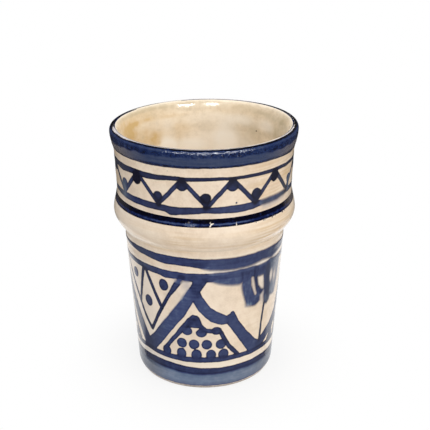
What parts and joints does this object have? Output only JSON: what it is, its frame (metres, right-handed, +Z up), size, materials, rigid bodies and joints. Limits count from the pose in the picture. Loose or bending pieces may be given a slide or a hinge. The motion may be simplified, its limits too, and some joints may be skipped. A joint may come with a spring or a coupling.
{
  "type": "handleless pottery mug",
  "caption": "Glazed pottery tumbler with tapered body, overhanging shoulder, flared neck and round lip, painted with cobalt bands, a zigzag frieze and triangle panels on cream.",
  "frame": {"origin": "middle of the foot, on the surface that the mug stands on", "axes": "+Z up along the mug's turning axis; -Y faces the viewer of the picture and +X is to the viewer's right"},
  "size_m": [0.0806, 0.0806, 0.1138],
  "materials": {
    "clay": "matte",
    "cream_glaze": "gloss",
    "liner_glaze": "gloss",
    "cobalt_paint": "gloss",
    "navy_glaze": "gloss",
    "cobalt_wash": "gloss"
  },
  "bodies": {
    "root": {"clay_body": "clay", "inner_glaze": "liner_glaze", "outer_glaze": "cream_glaze", "rim_band": "navy_glaze", "frieze_upper_line": "cobalt_paint", "frieze_zigzag": "cobalt_paint", "frieze_lower_line": "cobalt_paint", "shoulder_line": "navy_glaze", "waist_line": "cobalt_paint", "panel_top_line": "cobalt_paint", "panel_bottom_line": "cobalt_paint", "base_band": "cobalt_wash", "panel_tent_1": "cobalt_paint", "panel_tent_2": "cobalt_paint", "panel_tent_3": "cobalt_paint", "panel_tent_4": "cobalt_paint", "tent_core_1": "cobalt_paint", "tent_core_2": "cobalt_paint", "tent_core_3": "cobalt_paint", "tent_core_4": "cobalt_paint", "panel_chevron_1": "cobalt_paint", "panel_chevron_2": "cobalt_paint", "panel_chevron_3": "cobalt_paint", "panel_chevron_4": "cobalt_paint"}
  },
  "joints": []
}
